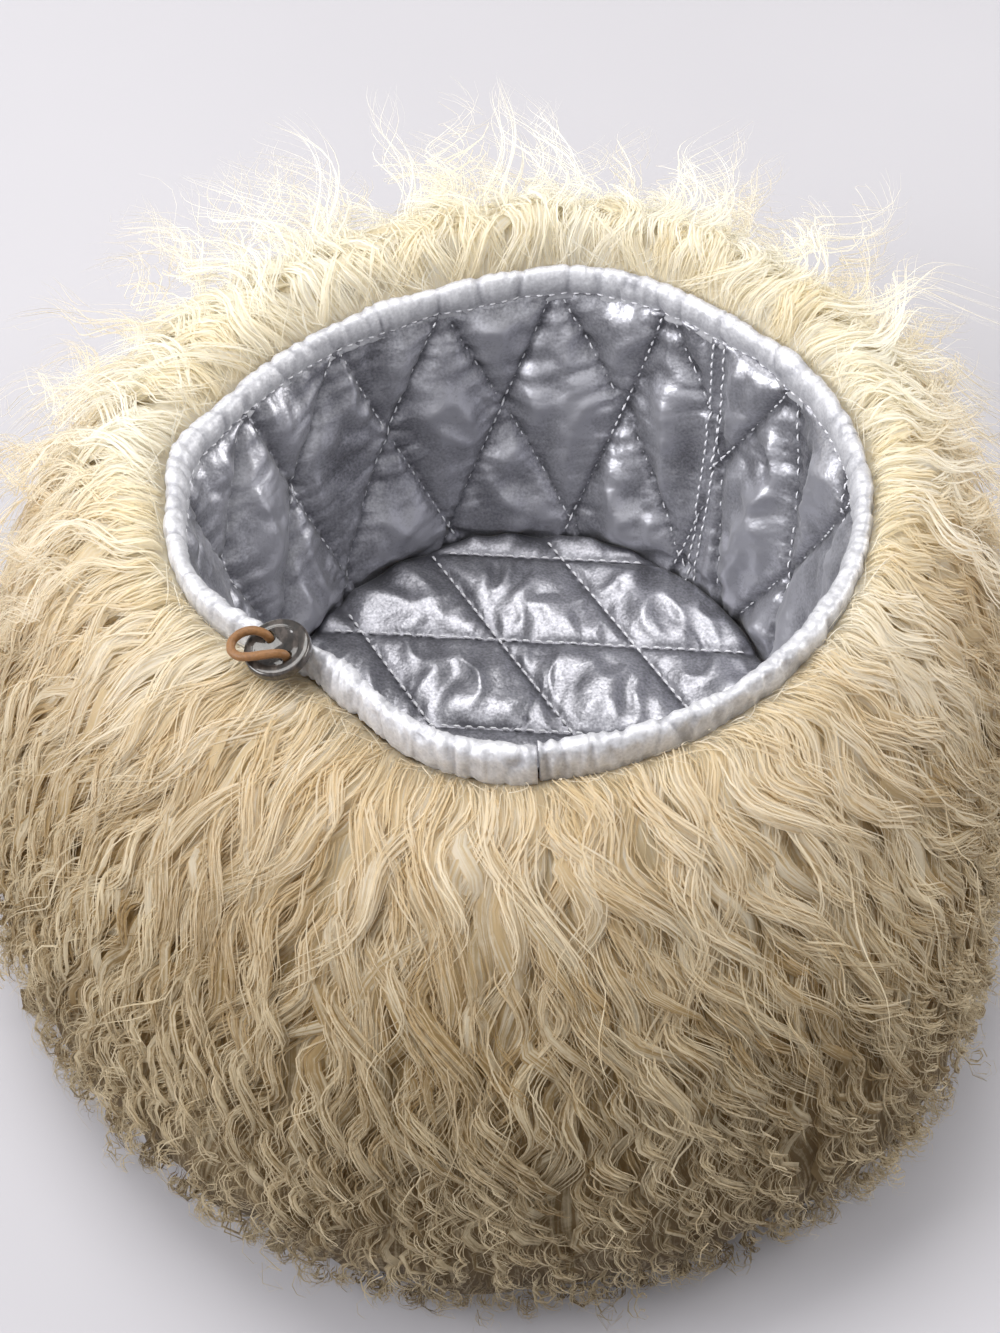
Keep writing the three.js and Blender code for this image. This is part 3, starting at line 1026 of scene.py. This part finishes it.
# %% Reach and profile of the wool
WOOL_GAP = -0.6  # the wool starts this far inside the rim's outline, under the casing
WOOL_SINK = 0.8  # and this far below the rim
WOOL_INSET = 6  # the tips of the locks stand this far out of the form below
FORM_OUT, FORM_TALL = 95, 125  # about the size of the profile
WOOL_REACH = np.array(
    [  # azimuth, reach, crest over the rim
        (0, 160, 3),
        (30, 167, 7),
        (60, 169, 9),
        (90, 169, 10),
        (120, 173, 9),
        (150, 177, 6),
        (180, 175, 2),
        (205, 182, -4),
        (230, 195, -7),
        (262, 209, -7),
        (290, 203, -5),
        (305, 197, -4),
        (330, 170, -1),
    ],
    float,
)
WOOL_PROFILE = [  # out, drop
    (0, 0.03),
    (0.05, 0.012),
    (0.16, 0),
    (0.36, 0.06),
    (0.56, 0.17),
    (0.75, 0.32),
    (0.9, 0.49),
    (1, 0.67),
    (0.985, 0.83),
    (0.93, 0.93),
    (0.82, 1),
]


# %% Places on the wool's form
def wool_value(azimuth, column):
    """Reach or crest at any azimuth, on a smooth curve through the rows."""
    lap = (360, 0, 0)
    rows = np.concatenate([WOOL_REACH[-2:] - lap, WOOL_REACH, WOOL_REACH[:3] + lap])
    turned = np.asarray(azimuth) % 360
    i = np.searchsorted(rows[:, 0], turned, side="right") - 1
    t = (turned - rows[i, 0]) / (rows[i + 1, 0] - rows[i, 0])
    a, b, c, d = (rows[i + n, column] for n in (-1, 0, 1, 2))
    return b + 0.5 * t * (c - a + t * (2 * a - 5 * b + 4 * c - d + t * (3 * (b - c) + d - a)))


profile = smooth_route([(out, drop, 0) for out, drop in WOOL_PROFILE], 20)[:, :2]
profile_steps = np.hypot(*(np.diff(profile, axis=0) * (FORM_OUT, FORM_TALL)).T)
profile_length = np.concatenate([[0], np.cumsum(profile_steps)])
profile_place = profile_length / profile_length[-1]


def wool_form(azimuth, along):
    dx, dy = heading(azimuth)
    rim = rim_radius(azimuth) + WOOL_GAP
    out = np.interp(along, profile_place, profile[:, 0])
    drop = np.interp(along, profile_place, profile[:, 1])
    radius = rim + out * (wool_value(azimuth, 1) - WOOL_INSET - rim)
    crest = wool_value(azimuth, 2)
    climb = np.where(crest > 0, np.clip(out / 0.2, 0, 1), 1)
    height = rim_height(dx * rim, dy * rim) + crest * climb - WOOL_SINK
    return xyz(dx * radius, dy * radius, height * (1 - drop))


AZIMUTH_STEP, ALONG_STEP = 0.4, 0.01  # over these the form's slopes are measured


def wool_frame(azimuth, along):
    """A point of the form, the direction out of it and the direction round the hat."""
    place = wool_form(azimuth, along)
    clockwise, other = (wool_form(azimuth + step, along) for step in (-AZIMUTH_STEP, AZIMUTH_STEP))
    beside = unit(other - clockwise)
    ahead = wool_form(azimuth, np.minimum(along + ALONG_STEP, 1))
    onward = unit(ahead - wool_form(azimuth, np.minimum(along, 1 - ALONG_STEP) - ALONG_STEP))
    return place, unit(np.cross(onward, beside)), beside


print("the wool reaches, mm:", wool_value([0, 90, 180, 270], 1).round())

# %% [markdown]
# ## The wool's colour
#
# Sheep's wool lets light through, so a lock glows where the light falls on it and turns
# ochre deep inside. A Translucent shader mixed with the Principled one gives the glow; the ochre
# is painted: the colour runs from a pale ramp to a deep one, and the deep one is partly the
# yellower roots and partly painted shade. Numbers at each point steer the colour: how near the
# tip it lies, where on the hat it grows, and a random tone. Both ramps darken lower down and
# at the front: painted shade, since the light falls from above and behind. The single fibres
# are thinner than a ribbon, so fine noise across it, drawn out along it, paints them and raises
# them in the bump. Lower down, where the wool is curly, swirled noise breaks the colour up, and
# the wool shines less.

# %% Wool material
FIBRES_PER_MM = 1.2
FIBRE_STRETCH = 0.035
GLOW = 0.6
# Both ramps darken towards the floor: painted shade under the wool's overhang. The deep ramp is
# partly the yellower roots and partly painted shade inside the fleece.
WOOL_COLOURS = [  # along the form, pale, deep
    (0.0, (0.99, 0.97, 0.90), (0.95, 0.88, 0.70)),
    (0.3, (0.90, 0.83, 0.69), (0.74, 0.60, 0.37)),
    (0.55, (0.78, 0.69, 0.51), (0.46, 0.32, 0.14)),
    (0.8, (0.69, 0.59, 0.41), (0.28, 0.195, 0.092)),
    (1.0, (0.61, 0.51, 0.34), (0.19, 0.135, 0.07)),
]


def wool(name):
    finish = Finish(name)
    tip = finish.measure("tip")
    tone = finish.measure("tone")
    along = finish.measure("along_form")
    pale = finish.ramp(along, *((place, pale) for place, pale, _ in WOOL_COLOURS))
    deep_shade = finish.ramp(along, *((place, deep_shade) for place, _, deep_shade in WOOL_COLOURS))
    run = finish.measure("run") * FIBRE_STRETCH
    across = finish.node("CombineXYZ", X=finish.measure("across"), Y=run)
    fibres = finish.node("TexNoise", Vector=across, Scale=FIBRES_PER_MM, Detail=3)
    swirls = finish.speckle(5, detail=3, swirl=3)
    grain = (fibres - 0.5) * finish.measure("grain") * 4
    shade = tip * 0.75 + tone * 0.8 + grain + along * (swirls - 0.5) * 2 - 0.25
    colour = finish.blend(shade, deep_shade, pale)
    surface = finish.node(
        "BsdfPrincipled",
        Base_Color=colour,
        Roughness=0.36 + along * 0.3,
        Specular_IOR_Level=0.5,
        Sheen_Weight=0.1,
        Normal=finish.bump(fibres, 0.6, 0.8),
    )
    glow = finish.node("BsdfTranslucent", Color=colour)
    return finish.done(finish.mix_shaders(GLOW, surface, glow))


wool_finish = wool("curly_wool")
print("wool nodes:", len(wool_finish.node_tree.nodes))


def shade_towards_front(azimuth):
    """Added to `along` for the colour: painted shade, darker and ochre higher up at the front, which
    faces away from the light, while the back stays pale.
    """
    return -0.08 - 0.25 * np.sin(np.radians(azimuth))


# %% [markdown]
# Under the locks lies a body of wool, which fills every gap between them. It is the outer form,
# sunk a little and grooved downwards, and closed on the inside behind the lining.

# %% The body under the locks
BODY_AROUND, BODY_ROWS = 340, 86
BODY_MM_PER_DEGREE = 2.6
HIDDEN_DOWNS, HIDDEN_OUT = (1.05, 0.6, 0.13), 4.9  # the side behind the lining

body_azimuths = np.arange(BODY_AROUND) * 360 / BODY_AROUND
body_along = np.linspace(0, 1, BODY_ROWS)[:, None]
grid_azimuth, grid_along = np.broadcast_arrays(body_azimuths, body_along)
place, outward, beside = wool_frame(grid_azimuth, grid_along)
sway = 3 * noise(place, 28, 42) * np.clip(grid_along * 4, 0, 1)
around = grid_azimuth * BODY_MM_PER_DEGREE
strung = xyz(around + sway, grid_along * 40, 0)
lumps = noise(strung, 11, 40) + 0.5 * ridges(strung, 6, 41)
depth = np.interp(grid_along, (0, 0.1, 0.4, 0.7), (0.2, 1.4, 2.6, 3.6))
sunk = depth - lumps * np.interp(grid_along, (0, 0.12, 0.5), (0.3, 1.6, 2.4))
skin = place - outward * sunk[..., None]
skin[..., 2] = np.maximum(skin[..., 2], 0.3)
hidden = lining_point(body_azimuths, np.array(HIDDEN_DOWNS)[:, None], HIDDEN_OUT)
hidden[0, :, 2] = 0.4
rings = np.concatenate([skin, hidden])
body = ring_piece("wool_body", rings, wool_finish, "fleece", flipped=True)
# The body's tip is low, so it takes the deep colour, and lower still in its grooves: painted shade
# in the gaps between the locks.
for name, values, rest in (  # rest is for the hidden side
    ("tip", 0.25 * lumps - 0.1, 0),
    ("tone", 0.45 + 0.4 * noise(place, 24, 43), 0.3),
    ("along_form", grid_along + shade_towards_front(grid_azimuth), 0.5),
    ("across", around + 1.6 * sway, 0),
    ("run", grid_along * 200, 0),
    ("grain", 1 + 0 * grid_along, 1),
):
    add_measure(body, name, np.append(values, np.full(hidden.shape[:2], rest)))

# %% [markdown]
# ## Locks and strands
#
# Real hair could be Blender's hair curves, but here each piece has to be a mesh. A strand is
# a narrow ribbon that follows a wavy line. Strands grow in locks that share one wave, as the
# staples of real wool do: they start side by side and draw together towards the tip. The upper
# locks have an arched ribbon as their core. Near the rim the locks are broad and their waves
# long. Lower down they tighten into ringlets.

# %% Sizes of the locks
LOCK_ALONG = (0, 0.25, 0.5, 0.75, 1)
LOCK_SIZES = {  # mm at each place along the form, least and most share of that
    "long": ((88, 74, 52, 28, 19), 0.7, 1.2),
    "wave": ((44, 32, 18, 9.5, 8), 0.75, 1.3),
    "wide": ((3.0, 3.4, 2.7, 2.4, 2.3), 0.5, 1.4),
    "girth": ((11, 8.5, 5, 3.2, 2.6), 0.6, 1.3),
}
FORM_LONG, FORM_REACH = 190, 165  # the form is this long where the wool reaches this far


def new_locks(azimuth, along, seed):
    """The numbers that each lock is grown from."""
    draw = np.random.default_rng(seed)
    many = len(azimuth)
    place = wool_form(azimuth, along)
    sweep = 0.05 * noise(place, 60, 51) + 0.1 * noise(place, 26, 54)
    sizes = {
        name: np.interp(along, LOCK_ALONG, size) * draw.uniform(least, most, many)
        for name, (size, least, most) in LOCK_SIZES.items()
    }
    return {
        "azimuth": azimuth,
        "along": along,
        **sizes,
        "phase": 3 * noise(place, 40, 50) + draw.uniform(-1.5, 1.5, many),
        "drift": sweep + draw.normal(0, 0.09, many),
        "bend": draw.normal(0, 0.0025, many) + 0.0025 * noise(place, 45, 52),
        "curl": np.clip((along - 0.3) / 0.4, 0, 1) * draw.uniform(0.3, 1, many),
        **{name: np.zeros(many) for name in ("side", "stray", "over", "tilt")},
        "dive": draw.uniform(1.5, 4, many),
        "rise": draw.uniform(-1.5, 3, many),
        "tone": np.clip(0.5 + draw.normal(0, 0.26, many) + 0.7 * noise(place, 32, 53), 0, 1),
    }


print("numbers of a lock:", *new_locks(np.zeros(1), np.zeros(1), 0))


# %% Lines of the locks
def grow(locks, steps):
    """Centre line, outward direction and way covered for every lock, step by step."""
    t = np.linspace(0, 1, steps)
    lock = {name: values[:, None] for name, values in locks.items()}
    travelled = lock["long"] * t
    forward = lock["long"] * (t - 0.3 * lock["curl"] * t**2)
    base = wool_form(locks["azimuth"], locks["along"])
    radius = np.hypot(base[:, 0], base[:, 1])[:, None]
    form_mm = FORM_LONG + 0.8 * (wool_value(lock["azimuth"], 1) - FORM_REACH)
    turns = 2 * np.pi * travelled / lock["wave"] * (1 + 0.3 * lock["curl"] * t) + lock["phase"]
    swing = lock["wide"] * np.clip(t / 0.3, 0, 1) ** 1.2 * (1 + 0.3 * lock["curl"] * t)
    side = (
        lock["side"] * (1 - (0.85 - 0.6 * lock["curl"]) * t)
        + lock["stray"] * t
        + lock["drift"] * forward
        + lock["bend"] * forward**2
        + swing * np.sin(turns)
    )
    azimuth = lock["azimuth"] + np.degrees(side / (radius + 0.6 * forward))
    along = np.clip(lock["along"] + forward / form_mm, 0, 1)
    height = -lock["dive"] * (1 - np.clip(t / 0.4, 0, 1)) ** 2 + lock["rise"] * t**1.5
    height = height + lock["over"] * np.minimum(t / 0.1, 1) * (1 - 0.6 * t)
    height = height + (0.4 + 0.55 * lock["curl"]) * swing * np.cos(turns)
    place, outward, beside = wool_frame(azimuth, along)
    line = place + outward * height[..., None]
    line[..., 2] = np.maximum(line[..., 2], 0.5 + 0.6 * np.sin(turns) ** 2)
    return line, outward, beside, travelled, along, t


# %% Ribbons
FLAT = [(-1, 0), (1, 0)]
ARCHED = [(-1, 0), (0, 0.7), (1, 0)]
ARCHED_GRAIN, FLAT_GRAIN = 1.4, 0.35  # how strongly the painted fibres show
FURTHEST = ((-192, -225, 0.3), (177, 187, 153))  # no hair passes this box


def ribbons(name, locks, steps, width, spots, roll, seed, tip_range):
    """A mesh of one ribbon for each lock or strand; spots are its section."""
    draw = np.random.default_rng(seed)
    line, outward, beside, travelled, along, t = grow(locks, steps)
    many = len(line)
    tangent = unit(np.gradient(line, axis=1))
    turn = locks["tilt"][:, None, None] + draw.normal(0, roll, (many, 1, 1))
    facing = outward * np.cos(turn) + beside * np.sin(turn)
    across = unit(np.cross(tangent, facing))
    normal = np.cross(across, tangent)
    taper = np.minimum(np.minimum(0.35 + 3 * t, 1), ((1 - t) / 0.5 + 0.04) ** 0.8)
    half = (width[:, None] / 2 * taper)[..., None]
    points = np.stack([line + across * half * s + normal * half * h for s, h in spots], 2)
    points = np.clip(points, *FURTHEST)
    one = grid_faces(steps, len(spots))
    faces = one[None] + np.arange(many)[:, None, None] * steps * len(spots)
    piece = new_piece(name, points.reshape(-1, 3), faces.reshape(-1, 4), wool_finish)
    low, high = tip_range
    offsets = np.array([s for s, _ in spots]) * width[:, None, None] / 2
    for measure, values in (
        ("tip", (low + (high - low) * np.clip(t / 0.7, 0, 1))[None, :, None]),
        ("tone", locks["tone"][:, None, None]),
        ("along_form", (along + shade_towards_front(locks["azimuth"])[:, None])[..., None]),
        ("across", offsets + draw.uniform(0, 400, (many, 1, 1))),
        ("run", travelled[..., None]),
        ("grain", np.array(ARCHED_GRAIN if spots is ARCHED else FLAT_GRAIN)),
    ):
        add_measure(piece, measure, np.broadcast_to(values, (many, steps, len(spots))))


# %% The strands of a lock
def strands_of(locks, each, seed):
    """Several strands for each lock, close to its middle but not alike."""
    draw = np.random.default_rng(seed)
    many = len(locks["azimuth"]) * each
    strands = {name: np.repeat(values, each) for name, values in locks.items()}
    aside = draw.uniform(-1, 1, many)
    strands["side"] = aside * strands["girth"] * 0.6
    strands["stray"] = draw.normal(0, 1.2, many) * (1 - 0.4 * strands["curl"])
    strands["tilt"] = aside * 0.8
    strands["over"] = 0.27 * strands["girth"] * (1 - aside**2) + draw.uniform(-0.3, 0.6, many)
    strands["phase"] += draw.normal(0, 0.25, many)
    strands["wave"] *= draw.normal(1, 0.05, many)
    strands["wide"] *= draw.uniform(0.75, 1.25, many)
    strands["long"] *= draw.uniform(0.7, 1.12, many)
    strands["rise"] += draw.uniform(-0.5, 2, many)
    strands["drift"] += draw.normal(0, 0.025, many)
    strands["tone"] = np.clip(strands["tone"] + draw.normal(0, 0.08, many), 0, 1)
    return strands


# %% Where the locks grow
GOLDEN = 0.618  # neighbours whose places differ by this share never crowd


def scattered(many, low, high, seed):
    """Locks spread evenly round the hat, from `low` to `high` along the form."""
    draw = np.random.default_rng(seed)
    azimuth = (np.arange(many) + draw.uniform(-0.5, 0.5, many)) * 360 / many
    share = (np.arange(many) * GOLDEN + draw.uniform(0, 0.15, many)) % 1
    return new_locks(azimuth, low + (high - low) * share, seed + 1)


def joined(*groups):
    return {name: np.concatenate([g[name] for g in groups]) for name in groups[0]}


rim_locks = scattered(160, 0.0, 0.02, 100)
rim_locks["dive"] *= 0.5
top_locks = joined(rim_locks, scattered(160, 0.03, 0.28, 102))
tousled = np.clip(np.sin(np.radians(top_locks["azimuth"])), 0, 1)  # at the back
draw = np.random.default_rng(103)
top_locks["drift"] += draw.normal(0, 0.45, len(tousled)) * tousled
top_locks["rise"] += draw.uniform(0, 12, len(tousled)) * tousled
top_locks["wave"] *= 1 - 0.3 * tousled
middle_locks = scattered(420, 0.22, 0.56, 104)
low_locks = scattered(640, 0.46, 0.98, 106)
under_locks = scattered(560, 0.04, 0.92, 108)
under_locks["rise"] -= 1.5
groups = (under_locks, top_locks, middle_locks, low_locks)
print("locks:", sum(len(group["azimuth"]) for group in groups))

# %% Locks and their strands
# The cores, which lie under the strands, end at darker tips than the strands, and the under locks
# darkest of all: painted shade in the layers beneath.
for name, some, steps, share, seed, tips in (
    ("under", under_locks, 18, 0.7, 119, (0.0, 0.5)),
    ("top", top_locks, 18, 0.6, 120, (0.2, 0.6)),
    ("middle", middle_locks, 21, 0.45, 121, (0.1, 0.6)),
):
    ribbons(f"locks_{name}", some, steps, some["girth"] * share, ARCHED, 0.2, seed, tips)
for number, (name, some, steps, each, thin, thick) in enumerate(
    (
        ("top", top_locks, 16, 17, 0.25, 0.6),
        ("middle", middle_locks, 21, 11, 0.25, 0.5),
        ("low", low_locks, 23, 6, 0.28, 0.48),
    )
):
    strands = strands_of(some, each, 130 + number)
    widths = np.random.default_rng(140 + number).uniform(thin, thick, len(strands["azimuth"]))
    ribbons(f"strands_{name}", strands, steps, widths, FLAT, 0.3, 150 + number, (0.15, 1.0))

# %% [markdown]
# At the back the wool stands up off the form in thin tufts, and the light goes through them.
# A few stray hairs stand off all the way round.

# %% Wisps
BACK_MIDDLE = 92  # azimuth about which the tufts stand
STRAY_HAIRS = 220

tufts = scattered(300, 0.02, 0.3, 200)
from_back = turn_between(tufts["azimuth"], BACK_MIDDLE)
back = np.abs(from_back) < 100
many = back.sum()
tufts = {name: values[back] for name, values in tufts.items()}
draw = np.random.default_rng(202)
steep = np.cos(np.radians(from_back[back]) * 0.8)
tufts["rise"] = draw.uniform(4, 58, many) * np.clip(steep, 0.35, 1)
tufts["wide"] *= 1.4
tufts["wave"] *= 0.75
tufts["drift"] += draw.normal(0, 0.25, many)
tufts["long"] *= draw.uniform(0.6, 1, many)
stray_hairs = scattered(STRAY_HAIRS, 0.1, 0.95, 207)
stray_hairs["rise"] = np.random.default_rng(208).uniform(4, 11, STRAY_HAIRS)
tuft_strands = strands_of(tufts, 16, 203)
tuft_strands["stray"] *= 0.4
wisp_strands = joined(tuft_strands, strands_of(stray_hairs, 3, 209))
widths = np.random.default_rng(204).uniform(0.25, 0.6, len(wisp_strands["azimuth"]))
ribbons("wisps", wisp_strands, 18, widths, FLAT, 0.8, 205, (0.8, 1.3))

# %% [markdown]
# Short loose hairs stand along the casing's outer edge. They soften the line between the satin
# and the wool, and cover where the locks are rooted.

# %% Fuzz along the casing
FUZZ = 320

fuzz = scattered(FUZZ, 0.0, 0.015, 210)
draw = np.random.default_rng(212)
for name, least, most in (("long", 7, 17), ("wave", 8, 18), ("wide", 0.4, 1.6)):
    fuzz[name] = draw.uniform(least, most, FUZZ)
fuzz["drift"] = draw.normal(0, 0.9, FUZZ)
for name, least, most in (("rise", 1, 7), ("dive", 0.2, 1)):
    fuzz[name] = draw.uniform(least, most, FUZZ)
ribbons("rim_fuzz", fuzz, 12, draw.uniform(0.2, 0.4, FUZZ), FLAT, 0.8, 213, (0.5, 1.0))

# %% [markdown]
# ## Studio
#
# A pale floor and soft lights all round: a large one above and behind the hat, a wide one in
# front that glances off the quilting, strong ones at both sides, and weak ones behind and
# overhead. The world stays darker, so that the folds between the highlights turn grey.

# %% Floor, lights and world
finish = Finish("pale_floor")
haze = finish.speckle(120, detail=2)
floor_colour = finish.blend(haze, (0.43, 0.42, 0.445), (0.45, 0.44, 0.465))
floor_finish = finish.principled(Base_Color=floor_colour, Roughness=0.8)
floor_mesh = bpy.data.meshes.new("floor")
floor_mesh.from_pydata([(-3, -3, 0), (3, -3, 0), (3, 3, 0), (-3, 3, 0)], [], [(0, 1, 2, 3)])
floor_mesh.materials.append(floor_finish)
add_object("floor", floor_mesh)


def area_light(name, place, aim, size, power, colour):
    data = bpy.data.lights.new(name, "AREA")
    data.shape = "RECTANGLE"
    data.size, data.size_y = size
    data.energy = power
    data.color = colour
    light = add_object(name, data)
    light.location = place
    towards = Vector(aim) - Vector(place)
    light.rotation_euler = towards.to_track_quat("-Z", "Y").to_euler()


area_light("key", (-0.25, 0.5, 1.55), (0, 0, 0.1), (1.1, 0.8), 19, (1, 0.99, 0.97))
area_light("front", (-0.4, -1.6, 1.0), (0, 0, 0.08), (2.4, 1.1), 6.5, (0.98, 0.98, 1))
area_light("left", (-1.25, -0.3, 0.8), (0, 0, 0.08), (0.8, 0.6), 18, (0.99, 0.99, 1))
area_light("right", (1.25, 0.2, 0.6), (0, 0, 0.08), (0.8, 0.6), 12, (1, 0.99, 0.97))
area_light("back", (-0.9, 1.15, 0.6), (0, 0, 0.12), (0.8, 0.4), 3.5, (1, 0.99, 0.97))
area_light("top", (0.1, -0.3, 1.9), (0, 0, 0), (1.0, 1.0), 6, (1, 1, 1))
world = bpy.data.worlds.new("studio")
world.use_nodes = True
background = world.node_tree.nodes["Background"]
background.inputs["Color"].default_value = (0.86, 0.86, 0.88, 1)
background.inputs["Strength"].default_value = 0.36
bpy.context.scene.world = world
bpy.context.scene.view_settings.view_transform = "Standard"

# %% Sizes and the end
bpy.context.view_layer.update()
triangles = sum(
    sum(len(p.vertices) - 2 for p in o.data.polygons)
    for o in bpy.context.scene.objects
    if o.type == "MESH" and not o.hide_render
)
print("triangles in all:", triangles)
